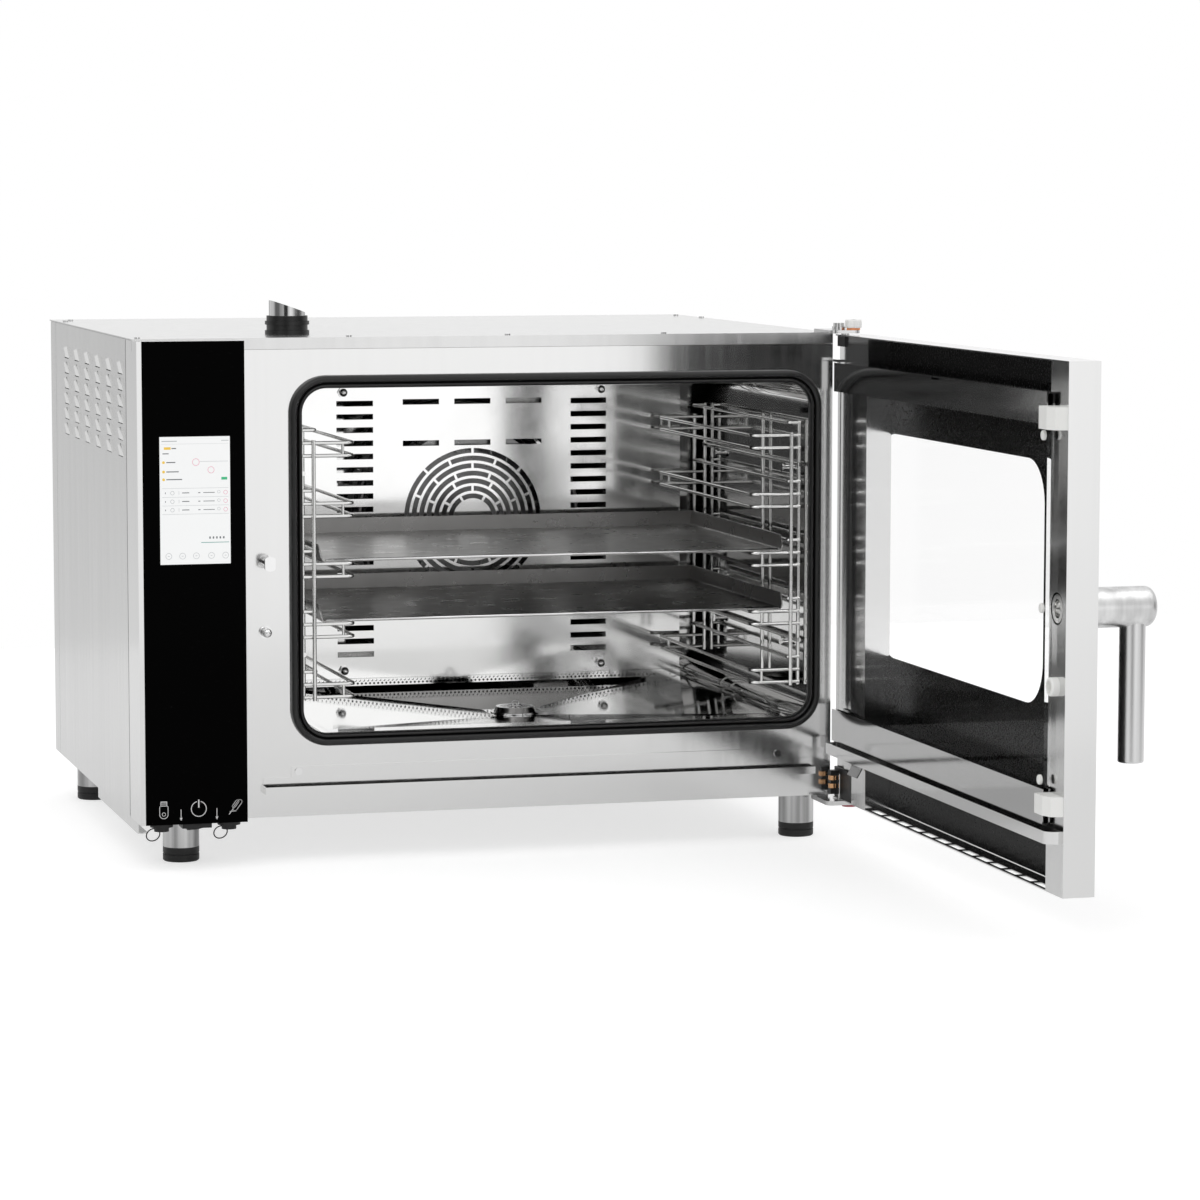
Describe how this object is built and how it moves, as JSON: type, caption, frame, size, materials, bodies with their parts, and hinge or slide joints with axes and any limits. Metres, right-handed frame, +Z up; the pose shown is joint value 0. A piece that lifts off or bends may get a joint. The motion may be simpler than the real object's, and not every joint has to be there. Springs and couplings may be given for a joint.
{
  "type": "combi oven",
  "caption": "Counter-top combi oven: box case with a side control column, open cavity with wire racks and sheet pans, side-hung glazed door with a hanging handle.",
  "frame": {"origin": "on the floor, under the middle of the steel front face of the case", "axes": "+X to the right seen from the front, +Y to the back, +Z up"},
  "size_m": [1.008, 1.492, 0.688],
  "materials": {
    "bright_steel": "fine satin, nearly mirror",
    "polished_steel": "polished",
    "polished_handle": "polished",
    "tray_steel": "satin",
    "profile_alloy": "satin",
    "clear_glass": "clear, faintly mirrored",
    "dark_glass": "black printed, glossy",
    "screen": "lit face",
    "black_rubber": "soft sheen",
    "black_plastic": "matte",
    "white_plastic": "moulded",
    "bronze": "machined",
    "mineral_wool": "fibrous",
    "green_board": "satin",
    "motor_paint": "semi matte"
  },
  "bodies": {
    "case": {"base_pan": "bright_steel", "left_side_panel": "bright_steel", "right_side_panel": "bright_steel", "top_cover": "bright_steel", "rear_panel": "bright_steel", "front_frame": "bright_steel", "oven_cavity": "bright_steel", "insulation_blanket": "mineral_wool", "fan_baffle": "bright_steel", "baffle_cap_nuts": "polished_steel", "floor_grille": "bright_steel", "heating_rings": "bright_steel", "fan_motor": "motor_paint", "side_rack_left": "bright_steel", "side_rack_right": "bright_steel", "drain_pipe": "bright_steel", "vent_pipe": "polished_steel", "vent_collar": "black_rubber", "door_gasket": "black_rubber", "control_housing": "bright_steel", "control_glass": "dark_glass", "touch_display": "screen", "circuit_boards": "green_board", "panel_sockets": "black_plastic", "latch_keeper": "polished_steel", "door_switch": "polished_steel", "front_gutter": "bright_steel", "case_screws": "bright_steel", "foot_sleeves": "polished_steel", "water_valve": "bronze", "cable_gland": "black_plastic", "cooling_fan_frame": "black_plastic", "hinge_brackets": "bright_steel"},
    "fan_rotor": {"fan_wheel": "bright_steel", "motor_shaft": "bright_steel"},
    "cooling_rotor": {"cooling_fan_rotor": "black_plastic"},
    "upper_pan": {"upper_tray": "tray_steel"},
    "lower_pan": {"lower_tray": "tray_steel"},
    "strainer": {"drain_strainer": "bright_steel"},
    "rocker": {"power_rocker": "black_plastic"},
    "usb_cap": {"usb_port_cap": "black_rubber"},
    "probe_cap": {"probe_port_cap": "black_rubber"},
    "plunger": {"switch_plunger": "polished_steel"},
    "foot_one": {"foot_adjuster_front_left": "black_plastic"},
    "foot_two": {"foot_adjuster_front_right": "black_plastic"},
    "foot_three": {"foot_adjuster_back_left": "black_plastic"},
    "foot_four": {"foot_adjuster_back_right": "black_plastic"},
    "door": {"door_frame": "bright_steel", "door_outer_glass": "dark_glass", "door_drip_tray": "bright_steel", "glass_clips": "white_plastic", "door_striker": "white_plastic", "latch_case": "bright_steel", "hinge_blocks": "black_plastic", "hinge_rollers": "bronze"},
    "inner_pane": {"door_inner_glass": "clear_glass", "glass_holders": "profile_alloy", "pane_bumpers": "white_plastic"},
    "handle": {"door_handle": "polished_handle", "latch_drum": "bright_steel"}
  },
  "joints": [
    {"name": "door_swing", "type": "hinge", "parent": "case", "child": "door", "pos_m": [0.4525, -0.0255, 0.348], "axis": [0, 0, 1], "range_deg": [-90, 30]},
    {"name": "inner_pane_swing", "type": "hinge", "parent": "door", "child": "inner_pane", "pos_m": [0.443, -0.03, 0.37], "axis": [0, 0, -1], "range_deg": [0, 30]},
    {"name": "handle_turn", "type": "hinge", "parent": "door", "child": "handle", "pos_m": [0.447, -0.7605, 0.3725], "axis": [1, 0, 0], "range_deg": [-90, 90]},
    {"name": "fan_spin", "type": "hinge", "parent": "case", "child": "fan_rotor", "pos_m": [0.088, 0.5, 0.3827], "axis": [0, 1, 0], "continuous": true},
    {"name": "cooling_fan_spin", "type": "hinge", "parent": "case", "child": "cooling_rotor", "pos_m": [-0.355, 0.66, 0.448], "axis": [0, 1, 0], "continuous": true},
    {"name": "upper_tray_slide", "type": "slide", "parent": "case", "child": "upper_pan", "axis": [0, -1, 0], "range_m": [0, 0.4]},
    {"name": "lower_tray_slide", "type": "slide", "parent": "case", "child": "lower_pan", "axis": [0, -1, 0], "range_m": [0, 0.4]},
    {"name": "strainer_lift", "type": "slide", "parent": "case", "child": "strainer", "axis": [0, 0, 1], "range_m": [0, 0.05]},
    {"name": "power_rocker_tilt", "type": "hinge", "parent": "case", "child": "rocker", "pos_m": [-0.3755, -0.017, 0.056], "axis": [0, 1, 0], "range_deg": [0, 14]},
    {"name": "usb_cap_pull", "type": "slide", "parent": "case", "child": "usb_cap", "axis": [0, 0, -1], "range_m": [0, 0.016]},
    {"name": "probe_cap_pull", "type": "slide", "parent": "case", "child": "probe_cap", "axis": [0, 0, -1], "range_m": [0, 0.016]},
    {"name": "door_switch_press", "type": "slide", "parent": "case", "child": "plunger", "axis": [0, 1, 0], "range_m": [0, 0.003], "stiffness_N_per_m": 800},
    {"name": "foot_front_left_screw_out", "type": "slide", "parent": "case", "child": "foot_one", "axis": [0, 0, -1], "range_m": [0, 0.015]},
    {"name": "foot_front_right_screw_out", "type": "slide", "parent": "case", "child": "foot_two", "axis": [0, 0, -1], "range_m": [0, 0.015]},
    {"name": "foot_back_left_screw_out", "type": "slide", "parent": "case", "child": "foot_three", "axis": [0, 0, -1], "range_m": [0, 0.015]},
    {"name": "foot_back_right_screw_out", "type": "slide", "parent": "case", "child": "foot_four", "axis": [0, 0, -1], "range_m": [0, 0.015]}
  ]
}
